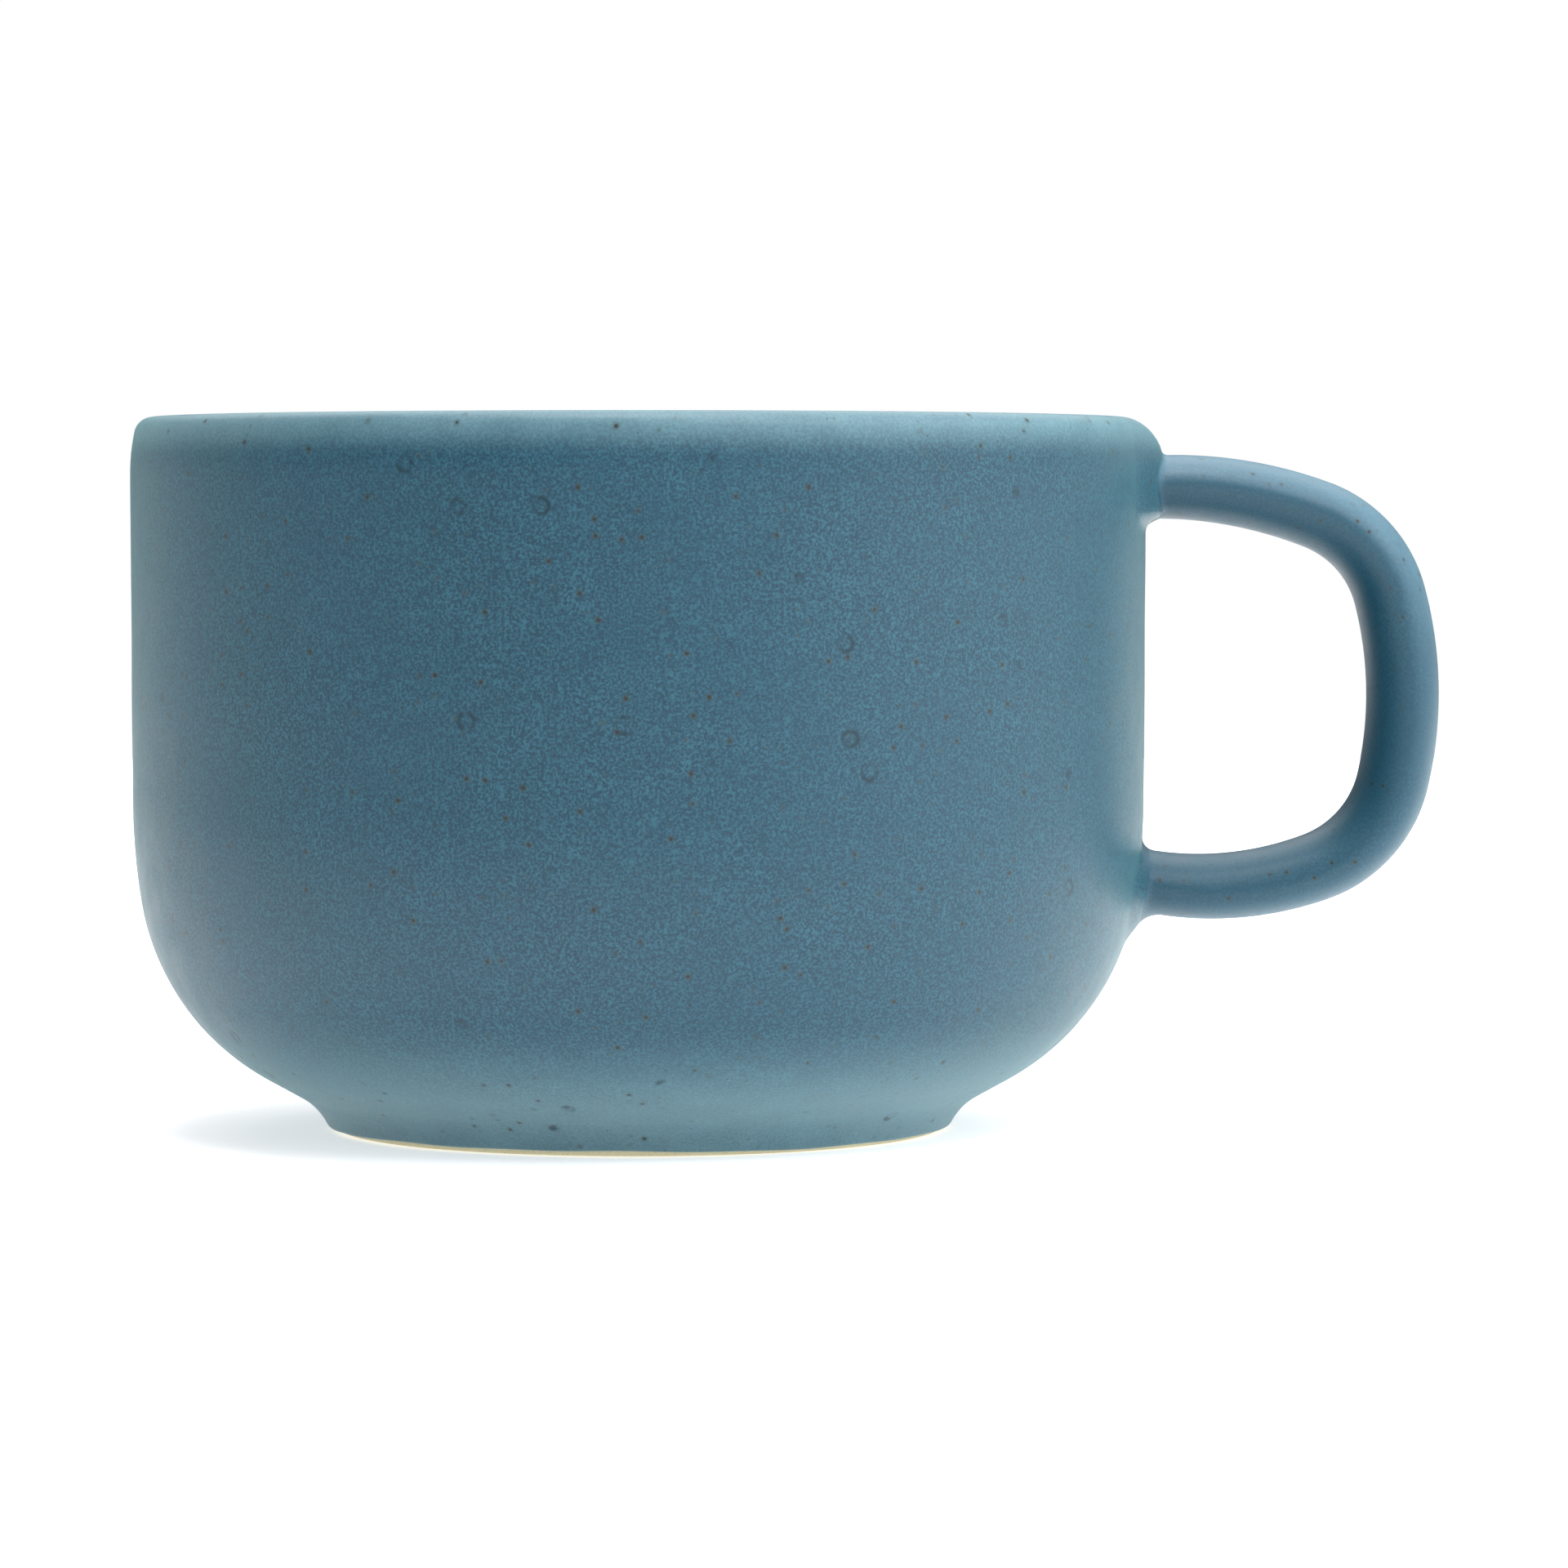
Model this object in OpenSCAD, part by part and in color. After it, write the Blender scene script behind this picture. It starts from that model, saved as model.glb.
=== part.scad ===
// Wide, low stoneware mug with a D-shaped loop handle.
// Millimetres. +Z is up and the cup's axis. It stands on the plane z = 0 and the handle points along +X.
// A fired mug is pieces of clay luted together with slip, under a thin coat of glaze. Each is a solid
// of its own, they meet face to face, and none of them moves.

/* [Body] */
// Outer diameter of the glazed body at the top of its wall
body_d = 100; // [98:0.5:104]
// Height of the glazed rim above the table
body_h = 70.2; // [69:0.1:74]
// Radius of the round between the underside and the belly
hip_r = 24; // [22:0.5:25]
// Heading of the profile where the hip ends and the belly begins, 90 is upright
hip_end = 80; // [77:1:83]
// Radius of the belly, which runs from the hip up into the wall
belly_r = 60; // [50:1:70]
// Outward lean of the wall, in degrees
wall_draft = 0.25; // [0.05:0.05:0.6]
// Height of the clay floor's middle inside the cup
floor_z = 7; // [6:0.25:9]
// Radius of the round between the inner wall and the floor
floor_corner_r = 20; // [17:0.5:22]
// Slope of the floor where it leaves that round, in degrees
floor_dish = 5; // [2:0.5:7]

/* [Rim] */
// Radius of the shoulder that draws the wall in under the rim
shoulder_r = 20; // [16:0.5:24]
// How far the shoulder turns inwards, in degrees
shoulder_turn = 12; // [9:1:15]
// Radius of the clay lip on the outside
lip_outer_r = 1.5; // [1.3:0.1:2]
// Radius of the clay lip on the inside
lip_inner_r = 1.8; // [1.5:0.1:2.4]
// Inward lean of the inner wall towards the floor, in degrees
inner_draft = 0.5; // [0.2:0.1:1.5]

/* [Foot] */
// Height of the foot ring, which is also the depth of the recess inside it
foot_h = 2.4; // [2.2:0.1:2.8]
// Diameter of the recess at its flat ceiling
recess_d = 50.2; // [48:0.2:52]
// Slope of the recess's side from upright, in degrees
recess_slope = 14; // [8:1:20]
// Radius of the foot's inner edge
foot_inner_r = 0.8; // [0.5:0.1:1]
// Width of the flat ring that touches the table
contact_w = 2.9; // [2.5:0.1:3.2]
// Radius of the foot's outer edge
foot_outer_r = 1.7; // [1.5:0.1:1.9]
// How far round that edge the clay stays bare, in degrees
bare_turn = 40; // [30:1:50]
// Steepest heading of the foot's outside, 90 is upright
foot_side = 62; // [58:1:66]
// Radius of the hollow between the foot and the underside
waist_r = 7; // [5:0.5:8]
// Slope of the underside, in degrees
underside_slope = 29; // [27:1:31]

/* [Handle] */
// Width of the clay handle across the grip
handle_w = 11.4; // [10:0.2:13]
// Thickness of the clay handle
handle_t = 6; // [5.6:0.1:6.4]
// Height of the handle's centreline where it leaves the wall
handle_z = 63.2; // [62.6:0.1:63.6]
// Upward tilt of the handle at its upper root, in degrees
handle_tilt = 5.5; // [4.5:0.25:6]
// Radius of the upper arm
arm_top_r = 42; // [40:0.5:44]
// Radius of the upper corner
corner_top_r = 11.7; // [11:0.1:12.5]
// Radius of the grip
grip_r = 38.3; // [37:0.1:40]
// Radius of the lower corner
corner_low_r = 12; // [11.5:0.1:12.5]
// Radius of the lower arm
arm_low_r = 32; // [31:0.5:34]

/* [Handle joints] */
// Thickness of the slip bed between the handle's end and the wall
slip_bed = 0.4; // [0.35:0.05:0.6]
// Radius of the upper collar's hollow flare
flare_top = 1.3; // [1.1:0.1:1.5]
// Radius of the lower collar's hollow flare
flare_low = 1; // [0.9:0.1:1.2]
// Height of the small step where a collar ends on the handle
collar_lip = 0.25; // [0.2:0.01:0.28]
// How far the boss round the upper root stands out from the wall
boss_out = 1.85; // [1.5:0.05:2]
// Radius of the boss in plan, which sets how far it spreads along the wall
boss_r = 19; // [17:0.5:21]
// Radius of the boss's round top, which runs up to the rim
boss_top_r = 3.9; // [3.6:0.1:4.2]

/* [Glaze] */
// Thickness of the fired glaze
glaze_t = 0.3; // [0.29:0.01:0.34]

/* [Hidden] */

clay = "BurlyWood";
slip = "Tan";
glaze = "SteelBlue";

$fn = 96;
sag = 0.02;             // how far a facet of a revolved outline may lie inside its true arc
wall_r = body_d / 2 - glaze_t;
rim_z = body_h - glaze_t;
wall_heading = 90 - wall_draft;
crown_heading = 90 + shoulder_turn;
inner_heading = 270 - inner_draft;
dish_heading = 180 + floor_dish;

// ---- Paths ----
// A path is [start, heading, steps], and each step is [radius, turn] for an arc or [length, 0] for a
// straight. It keeps the solid on its left, so a step that turns left is a convex arc.
// `grow` gives the parallel path that lies so far outside the solid.

function left_of(heading) = [-sin(heading), cos(heading)];

function moved(heading, step) =
    step[1] == 0
        ? step[0] * [cos(heading), sin(heading)]
        : sign(step[1]) * step[0] * (left_of(heading) - left_of(heading + step[1]));

function reach(heading, steps, i = 0) =
    i == len(steps)
        ? [0, 0]
        : moved(heading, steps[i]) + reach(heading + steps[i][1], steps, i + 1);

function total_turn(steps) = [for (s = steps) s[1]] * [for (s = steps) 1];

function first_steps(steps, n) = [for (i = [0:1:n - 1]) steps[i]];

function grown(steps, grow) =
    [for (s = steps) s[1] == 0 ? s : [s[0] + sign(s[1]) * grow, s[1]]];

// Where the path is, and which way it heads, before its step number n
function point_at(path, grow, n) =
    path[0] - grow * left_of(path[1]) + reach(path[1], first_steps(grown(path[2], grow), n));

function heading_at(path, n) = n == 0 ? path[1] : path[1] + total_turn(first_steps(path[2], n));

function path_end(path) = point_at(path, 0, len(path[2]));

// How many facets an arc gets. Parallel paths share it, so their facets are parallel too
function facets(step) =
    step[1] == 0 ? 1 : ceil(abs(step[1]) / (2 * acos(1 - sag / step[0])));

// All the points of the path
function points(path, grow) = concat(
    [point_at(path, grow, 0)],
    [
        for (n = [0:len(path[2]) - 1])
            let (step = path[2][n], wide = grown([step], grow)[0], m = facets(step))
            for (k = [1:m])
                point_at(path, grow, n)
                    + moved(heading_at(path, n), step[1] == 0 ? wide : [wide[0], wide[1] * k / m])
    ]
);

function reversed(list) = [for (i = [len(list) - 1:-1:0]) list[i]];

// ---- The cup's half section ----
// The underside path runs from the recess's ceiling round the foot to where the glaze begins, the
// outside path from there up to the crest of the lip, and the inside path down to the axis.

recess_side_l = (foot_h - foot_inner_r * (1 - sin(recess_slope))) / cos(recess_slope);
underside = [
    [recess_d / 2, foot_h], recess_slope - 90,
    [
        [recess_side_l, 0],
        [foot_inner_r, 90 - recess_slope],
        [contact_w, 0],
        [foot_outer_r, bare_turn]
    ]
];
glaze_start = path_end(underside);

foot_steps = [
    [foot_outer_r, foot_side - bare_turn],
    [waist_r, underside_slope - foot_side]
];
side_steps = [
    [hip_r - glaze_t, hip_end - underside_slope],
    [belly_r - glaze_t, wall_heading - hip_end]
];
crown_steps = [
    [shoulder_r - glaze_t, crown_heading - wall_heading],
    [lip_outer_r, 180 - crown_heading]
];

// The straights of the underside and the wall bring the outside to the wall's radius and the rim's height
foot_reach = glaze_start + reach(bare_turn, foot_steps);
crown_reach = reach(wall_heading, crown_steps);
missing = [wall_r, rim_z - crown_reach[1]] - foot_reach - reach(underside_slope, side_steps);
between = sin(wall_heading - underside_slope);
underside_l = (missing[0] * sin(wall_heading) - missing[1] * cos(wall_heading)) / between;
wall_l = (missing[1] * cos(underside_slope) - missing[0] * sin(underside_slope)) / between;
outside = [
    glaze_start, bare_turn,
    concat(foot_steps, [[underside_l, 0]], side_steps, [[wall_l, 0]], crown_steps)
];
crest = path_end(outside);

// The inner wall's length sets the floor's height, and the dish comes level at the axis
dish_drop = (1 - cos(floor_dish)) / sin(floor_dish);
to_dish = crest
    + reach(180, [[lip_inner_r, inner_heading - 180]])
    + reach(inner_heading, [[floor_corner_r, dish_heading - inner_heading]]);
inner_wall_l = (to_dish[1] - dish_drop * to_dish[0] - floor_z)
    / (dish_drop * cos(inner_heading) - sin(inner_heading));
dish_r = (to_dish[0] + inner_wall_l * cos(inner_heading)) / sin(floor_dish);
inside = [
    crest, 180,
    [
        [lip_inner_r, inner_heading - 180],
        [inner_wall_l, 0],
        [floor_corner_r, dish_heading - inner_heading],
        [dish_r, -floor_dish]
    ]
];

over_rim = body_h + 1;

// The clay's half section with its foot, up to `over_rim` and with no hollow in it
module clay_area() {
    polygon(concat(
        points(underside, 0), points(outside, 0),
        [[crest[0], over_rim], [0, over_rim], [0, foot_h]]
    ));
}

// The drinking space and the air above it
module hollow_area() {
    polygon(concat(points(inside, 0), [[0, over_rim], [crest[0], over_rim]]));
}

// Half section of the glaze over a path
module coat_area(path) {
    polygon(concat(points(path, glaze_t), reversed(points(path, 0))));
}

// Everything within the cup's outer surface, or within the surface that lies `grow` outside it
module filled_cup(grow) {
    rotate_extrude()
        polygon(concat(points(outside, grow), [[crest[0], over_rim], [0, over_rim], [0, glaze_start[1]]]));
}

// ---- The handle ----
// Its centreline lies in the plane y = 0, as [x, z], from the upper root round to the lower one.
// Its section is a stadium: two round edges and flat faces between them.

edge_r = handle_t / 2;
edge_y = handle_w / 2 - edge_r;
root_depth = 4;         // how far the construction runs on into the wall
seam_step = 0.02;       // how much thinner the corners are than the arms
seam_turn = 2;          // how far the corners run on into the arms, in degrees
seam_lap = 0.3;         // and how far the ends do
root_x = wall_r - 1.7;
upper_root = [root_x, handle_z];
centreline = [
    [arm_top_r, -26.5],
    [corner_top_r, -54],
    [grip_r, -27.5],
    [corner_low_r, -57.5],
    [arm_low_r, -30.5]
];
lower_root = upper_root + reach(handle_tilt, centreline);
lower_tilt = handle_tilt + total_turn(centreline) + 180;

module section(grow) {
    for (side = [-1, 1]) translate([0, side * edge_y]) circle(r = edge_r + grow);
    square([2 * (edge_r + grow), 2 * edge_y], center = true);
}

// Puts children, which point along their +Z, on a root so that they point outwards along its tilt
module on_root(root, tilt) {
    translate([root[0], 0, root[1]]) rotate([0, 90 - tilt, 0]) children();
}

// One bend of the centreline, run on at both ends by `more` degrees
module bend(number, grow, more = 0) {
    step = centreline[number];
    before = first_steps(centreline, number);
    heading = number == 0 ? handle_tilt : handle_tilt + total_turn(before);
    centre = upper_root + reach(handle_tilt, before) - step[0] * left_of(heading);
    translate([centre[0], 0, centre[1]])
        rotate([90, 0, 0])
            rotate([0, 0, heading + 90 + step[1] - more])
                rotate_extrude(angle = 2 * more - step[1])
                    translate([step[0], 0])
                        section(grow);
}

module root_stub(grow) {
    translate([0, 0, -root_depth]) linear_extrude(root_depth + seam_lap) section(grow);
}

// The whole loop, with both ends run on into the wall. The arms and the grip are a hair thicker than
// the corners and the ends, which run a little way into them
module loop(grow) {
    on_root(upper_root, handle_tilt) root_stub(grow - seam_step);
    for (number = [0, 2, 4]) bend(number, grow);
    for (number = [1, 3]) bend(number, grow - seam_step, more = seam_turn);
    on_root(lower_root, lower_tilt) root_stub(grow - seam_step);
}

// ---- The handle's joints ----

collar_land = 0.2;      // length of a collar's outer edge that lies along the handle
boss_low = handle_z - 5.15;
boss_below_rim = 0.6;   // how much lower than the rim the boss ends
boss_under = [[3, 0], [0.6, 45]];   // the boss's underside: a 45 degree slope and the round at its end
boss_turn = 76;         // how far the boss's top turns in over the wall

// Half profile of a collar: x is the distance from the spine of the section, y is the height above the wall
module collar_area(flare, grow) {
    foot = edge_r + collar_lip + flare;
    polygon(concat(
        points([[foot, 0], 180, [[flare, -90], [collar_land, 0]]], grow),
        [[0, flare + collar_land], [0, -root_depth], [foot, -root_depth]]
    ));
}

// A collar of slip round a root, with a hollow flare that runs out onto the wall
module collar(flare, grow) {
    for (turn = [0, 180])
        rotate([0, 0, turn])
            translate([0, edge_y, 0])
                rotate_extrude(angle = 180) collar_area(flare, grow);
    rotate([90, 0, 0])
        linear_extrude(2 * edge_y, center = true) {
            collar_area(flare, grow);
            mirror([1, 0]) collar_area(flare, grow);
        }
}

// How far the wall lies in front of a root, along the root's tilt
function wall_ahead(root, tilt) = (wall_r - root[0]) / cos(tilt);

module root_collar(root, tilt, flare, grow) {
    on_root(root, tilt) translate([0, 0, wall_ahead(root, tilt)]) collar(flare, grow);
}

// The boss: a disc that stands out of the wall behind the upper root and rounds over into the rim
module boss(grow) {
    under = reach(45, boss_under);
    side_l = rim_z - boss_below_rim - boss_low - under[1] - boss_top_r * sin(boss_turn);
    side = [
        [boss_r - under[0], boss_low], 45,
        concat(boss_under, [[side_l, 0], [boss_top_r, boss_turn]])
    ];
    top = point_at(side, grow, len(side[2]));
    bottom = point_at(side, grow, 0);
    translate([wall_r + boss_out - boss_r, 0, 0])
        rotate_extrude()
            polygon(concat(points(side, grow), [[0, top[1]], [0, bottom[1]]]));
}

module upper_joint_form(grow) {
    root_collar(upper_root, handle_tilt, flare_top, grow);
    boss(grow);
}

module lower_joint_form(grow) {
    root_collar(lower_root, lower_tilt, flare_low, grow);
}

module handle_form(grow) {
    loop(grow);
    upper_joint_form(grow);
    lower_joint_form(grow);
}

module bare_handle() {
    difference() {
        loop(0);
        filled_cup(slip_bed);
    }
}

// ---- Sub-parts ----

module cup_body() {
    color(clay)
        rotate_extrude()
            difference() {
                clay_area();
                hollow_area();
                square([body_d, foot_h]);
            }
}

module foot_ring() {
    color(clay)
        rotate_extrude()
            intersection() {
                clay_area();
                square([body_d, foot_h]);
            }
}

module handle() {
    color(clay) bare_handle();
}

module upper_handle_joint() {
    color(slip)
        difference() {
            upper_joint_form(0);
            filled_cup(0);
            bare_handle();
        }
}

module lower_handle_joint() {
    color(slip)
        difference() {
            lower_joint_form(0);
            filled_cup(0);
            bare_handle();
        }
}

module outer_glaze() {
    color(glaze)
        difference() {
            rotate_extrude() coat_area(outside);
            handle_form(glaze_t);
        }
}

module inner_glaze() {
    color(glaze) rotate_extrude() coat_area(inside);
}

module handle_glaze() {
    color(glaze)
        difference() {
            handle_form(glaze_t);
            handle_form(0);
            filled_cup(0);
        }
}

module base_glaze() {
    side_end = point_at(underside, 0, 1);
    inner_corner = recess_d / 2 + glaze_t * (sin(recess_slope) - 1) / cos(recess_slope);
    color(glaze)
        rotate_extrude()
            polygon([
                [0, foot_h],
                [0, foot_h - glaze_t],
                [inner_corner, foot_h - glaze_t],
                point_at(underside, glaze_t, 1),
                side_end,
                [recess_d / 2, foot_h]
            ]);
}

cup_body();
foot_ring();
handle();
upper_handle_joint();
lower_handle_joint();
outer_glaze();
inner_glaze();
handle_glaze();
base_glaze();
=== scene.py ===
"""A wide stoneware mug in a satin blue glaze: its skins of glaze, its clay and a plain pale studio.

Every piece is a surface of two parameters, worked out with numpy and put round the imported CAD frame.
Lengths are in metres and angles in radians, unless a name says otherwise. The cup's axis is Z and the
handle points along +X.
"""
import math

import bpy
import numpy as np
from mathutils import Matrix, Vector


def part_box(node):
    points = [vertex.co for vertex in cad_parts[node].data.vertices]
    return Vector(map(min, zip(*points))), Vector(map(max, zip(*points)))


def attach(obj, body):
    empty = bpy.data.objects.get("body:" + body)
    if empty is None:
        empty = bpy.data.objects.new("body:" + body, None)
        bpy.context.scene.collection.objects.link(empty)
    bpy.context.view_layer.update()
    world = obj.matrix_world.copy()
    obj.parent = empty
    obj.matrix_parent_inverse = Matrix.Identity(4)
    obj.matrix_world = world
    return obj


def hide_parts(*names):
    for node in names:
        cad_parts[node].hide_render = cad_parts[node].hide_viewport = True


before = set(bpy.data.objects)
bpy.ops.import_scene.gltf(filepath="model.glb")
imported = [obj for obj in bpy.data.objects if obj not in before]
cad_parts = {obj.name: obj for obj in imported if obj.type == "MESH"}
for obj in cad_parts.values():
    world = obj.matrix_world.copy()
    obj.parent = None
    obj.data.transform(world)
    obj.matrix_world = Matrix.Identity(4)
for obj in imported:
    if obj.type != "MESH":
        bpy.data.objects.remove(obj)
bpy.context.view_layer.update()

MM = 0.001

# ---- Sizes of the cup, as in the CAD model ----
RIM_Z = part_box("outer_glaze")[1].z
FOOT_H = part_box("foot_ring")[1].z
GLAZE = 0.30 * MM
WALL_R = 49.7 * MM
HIP_R, BELLY_R, SHOULDER_R = 23.7 * MM, 59.7 * MM, 19.7 * MM
LIP_OUT, LIP_IN = 1.5 * MM, 1.8 * MM
FOOT_EDGE, WAIST_R = 1.7 * MM, 7.0 * MM
BARE_TURN, FOOT_SIDE, UNDERSIDE = 40.0, 62.0, 29.0
HIP_END, WALL_HEADING, CROWN = 80.0, 89.75, 102.0
RECESS_R, RECESS_SLOPE = 25.1 * MM, 14.0
FOOT_INNER, CONTACT_W = 0.8 * MM, 2.9 * MM
FLOOR_Z, FLOOR_CORNER, DISH = 7.0 * MM, 20.0 * MM, 5.0
INNER_HEADING = 269.5

# ---- Sizes of the handle ----
HANDLE_START = np.array([48.0, 63.2]) * MM
HANDLE_TILT = 5.5
HANDLE_BENDS = [(42.0, -26.5), (11.7, -54.0), (38.3, -27.5), (12.0, -57.5), (32.0, -30.5)]
# Half its glazed thickness and width, in mm, at the top, the grip and the bottom
HANDLE_HALF_T = (2.98, 3.55, 3.03)
HANDLE_HALF_W = (6.15, 5.85, 6.05)
# How far its widest line lies outside the centreline, as a part of half its thickness
EDGE_LEAN = 0.12
# Reach of the fillets at its roots: inside the loop at each end, at the sides, and what is added under
# the lower root
LOOP_FILLETS = (0.8 * MM, 1.35 * MM)
SIDE_FILLET = 0.65 * MM
UNDER_FILLET = 1.1 * MM


# ---- Paths and grids ----

def left_of(heading):
    """Unit vector to the left of a heading in degrees."""
    a = np.radians(heading)
    return np.array([-np.sin(a), np.cos(a)])


def moved(heading, size, turn):
    """Displacement over a straight of that length, or over an arc of that radius and turn."""
    if turn == 0:
        a = np.radians(heading)
        return size * np.array([np.cos(a), np.sin(a)])
    return np.sign(turn) * size * (left_of(heading) - left_of(heading + turn))


def trace(start, heading, steps, spacing):
    """Points, outward normals and lengths along a path of straights and tangent arcs.

    Each step is (length, 0) or (radius, turn). The solid lies on the left, so the outward normal is
    minus the left-hand unit vector.
    """
    points, headings, lengths = [np.array(start)], [heading], [0.0]
    at, run = np.array(start), 0.0
    for size, turn in steps:
        length = size if turn == 0 else size * math.radians(abs(turn))
        count = max(2, int(math.ceil(max(length / spacing, abs(turn) / 4.0))))
        for k in range(1, count + 1):
            done = k / count
            part = moved(heading, size * done, 0) if turn == 0 else moved(heading, size, turn * done)
            points.append(at + part)
            headings.append(heading + turn * done)
            lengths.append(run + length * done)
        at, heading, run = at + moved(heading, size, turn), heading + turn, run + length
    return np.array(points), -left_of(np.array(headings)).T, np.array(lengths)


def reach(heading, steps):
    """Displacement over a list of steps."""
    total = np.zeros(2)
    for size, turn in steps:
        total = total + moved(heading, size, turn)
        heading += turn
    return total


def grid_mesh(name, grid, wrap_u=False, wrap_v=True, cap_start=False, cap_end=False,
              sharp_rows=(), thin=None):
    """A mesh over a grid of points [u, v, xyz], closed round v, its ends wrapped or fanned shut.

    cap_start and cap_end add a pole in the middle of the first and last row. Faces point along v
    crossed with u. `thin`, a number for each point, is kept as the attribute "thin".
    """
    rows, cols = grid.shape[:2]
    index = np.arange(rows * cols).reshape(rows, cols)
    u0 = index if wrap_u else index[:-1]
    u1 = np.roll(index, -1, 0) if wrap_u else index[1:]
    v1_of = (lambda a: np.roll(a, -1, 1)) if wrap_v else (lambda a: a[:, 1:])
    v0_of = (lambda a: a) if wrap_v else (lambda a: a[:, :-1])
    quads = np.stack([v0_of(u0), v1_of(u0), v1_of(u1), v0_of(u1)], -1).reshape(-1, 4)
    points = [grid.reshape(-1, 3)]
    thin_values = [np.zeros(rows * cols) if thin is None else thin.reshape(-1)]
    fans = []
    count = rows * cols
    for wanted, row, flip in ((cap_start, index[0], True), (cap_end, index[-1], False)):
        if wanted:
            points.append(points[0][row].mean(0, keepdims=True))
            thin_values.append(thin_values[0][row].mean(keepdims=True))
            ahead = np.roll(row, -1)
            pole = np.full_like(row, count)
            fans.append(np.stack([pole, ahead, row] if flip else [pole, row, ahead], -1))
            count += 1
    tris = np.concatenate(fans) if fans else np.zeros((0, 3), int)
    mesh = bpy.data.meshes.new(name)
    co = np.concatenate(points)
    mesh.vertices.add(len(co))
    mesh.vertices.foreach_set("co", co.astype(np.float32).ravel())
    loops = np.concatenate([quads.ravel(), tris.ravel()])
    starts = np.concatenate([np.arange(len(quads)) * 4, len(quads) * 4 + np.arange(len(tris)) * 3])
    mesh.loops.add(len(loops))
    mesh.loops.foreach_set("vertex_index", loops.astype(np.int32))
    mesh.polygons.add(len(starts))
    mesh.polygons.foreach_set("loop_start", starts.astype(np.int32))
    mesh.update(calc_edges=True)
    mesh.validate()
    mesh.shade_smooth()
    if len(sharp_rows):
        pairs = np.zeros(len(mesh.edges) * 2, np.int32)
        mesh.edges.foreach_get("vertices", pairs)
        row_of = pairs.reshape(-1, 2) // cols
        sharp = (row_of[:, 0] == row_of[:, 1]) & np.isin(row_of[:, 0], [r % rows for r in sharp_rows])
        mesh.attributes.new("sharp_edge", "BOOLEAN", "EDGE").data.foreach_set("value", sharp)
    thin_kept = mesh.attributes.new("thin", "FLOAT", "POINT").data
    thin_kept.foreach_set("value", np.concatenate(thin_values).astype(np.float32))
    piece = bpy.data.objects.new(name, mesh)
    bpy.context.scene.collection.objects.link(piece)
    return piece


def smooth(low, high, x):
    """0 below low, 1 above high, and an even s-curve between."""
    t = np.clip((x - low) / (high - low), 0.0, 1.0)
    return t * t * (3.0 - 2.0 * t)


def around(count):
    """Angles round the cup's axis, closer together towards the handle than at the back."""
    t = np.linspace(-math.pi, math.pi, count, endpoint=False)
    return t - 0.5 * np.sin(t)


# ---- The cup's outline ----

recess_tilt = math.radians(RECESS_SLOPE)
underside_steps = [
    ((FOOT_H - FOOT_INNER * (1 - math.sin(recess_tilt))) / math.cos(recess_tilt), 0),
    (FOOT_INNER, 90 - RECESS_SLOPE),
    (CONTACT_W, 0),
    (FOOT_EDGE, BARE_TURN),
]
UNDER_START, UNDER_HEADING = np.array([RECESS_R, FOOT_H]), RECESS_SLOPE - 90
GLAZE_START = UNDER_START + reach(UNDER_HEADING, underside_steps)

foot_steps = [(FOOT_EDGE, FOOT_SIDE - BARE_TURN), (WAIST_R, UNDERSIDE - FOOT_SIDE)]
side_steps = [(HIP_R, HIP_END - UNDERSIDE), (BELLY_R, WALL_HEADING - HIP_END)]
crown_steps = [(SHOULDER_R, CROWN - WALL_HEADING), (LIP_OUT, 180 - CROWN)]
CREST_Z = RIM_Z - GLAZE
missing = (
    np.array([WALL_R, CREST_Z - reach(WALL_HEADING, crown_steps)[1]])
    - GLAZE_START - reach(BARE_TURN, foot_steps) - reach(UNDERSIDE, side_steps)
)
under_dir, wall_dir = moved(UNDERSIDE, 1.0, 0), moved(WALL_HEADING, 1.0, 0)
under_l, wall_l = np.linalg.solve(np.array([under_dir, wall_dir]).T, missing)
outside_steps = foot_steps + [(under_l, 0)] + side_steps + [(wall_l, 0)] + crown_steps
CREST = GLAZE_START + reach(BARE_TURN, outside_steps)

corner_step = (FLOOR_CORNER, 180 + DISH - INNER_HEADING)
to_dish = CREST + reach(180, [(LIP_IN, INNER_HEADING - 180)]) + reach(INNER_HEADING, [corner_step])
drop = math.tan(math.radians(DISH / 2))
inner_dir = moved(INNER_HEADING, 1.0, 0)
inner_l = (to_dish[1] - drop * to_dish[0] - FLOOR_Z) / (drop * inner_dir[0] - inner_dir[1])
dish_r = (to_dish[0] + inner_l * inner_dir[0]) / math.sin(math.radians(DISH))
inside_steps = [(LIP_IN, INNER_HEADING - 180), (inner_l, 0), corner_step, (dish_r, -DISH)]


# ---- How the thrown wall departs from a true outline ----

BOSS_TOP = 3.85 * MM        # how far out from the crest the round over the upper root reaches
BOSS_TOP_H = 4.0 * MM       # and how far down
BOSS_LOW = 58.85 * MM       # height where the wall begins to swell out under the root
BOSS_FLARE = 1.6 * MM       # and over what height it does, in a hollow quarter round
BOSS_ROUND = 1.75           # power of the oval that it follows
BOSS_FULL, BOSS_GONE = 3.5 * MM, 13.0 * MM  # it is full up to this far from the middle, and gone here

LOWER_Z = 24.3 * MM         # height of the middle of the swelling behind the lower root
LOWER_OUT = 1.25 * MM       # how far out it stands
LOWER_REACH = 10.5 * MM     # how far it reaches sideways, up and down
LOWER_UP, LOWER_DOWN = 3.8 * MM, 6.4 * MM

THROW_WAVE = 0.022 * MM     # depth of the throwing lines


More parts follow.
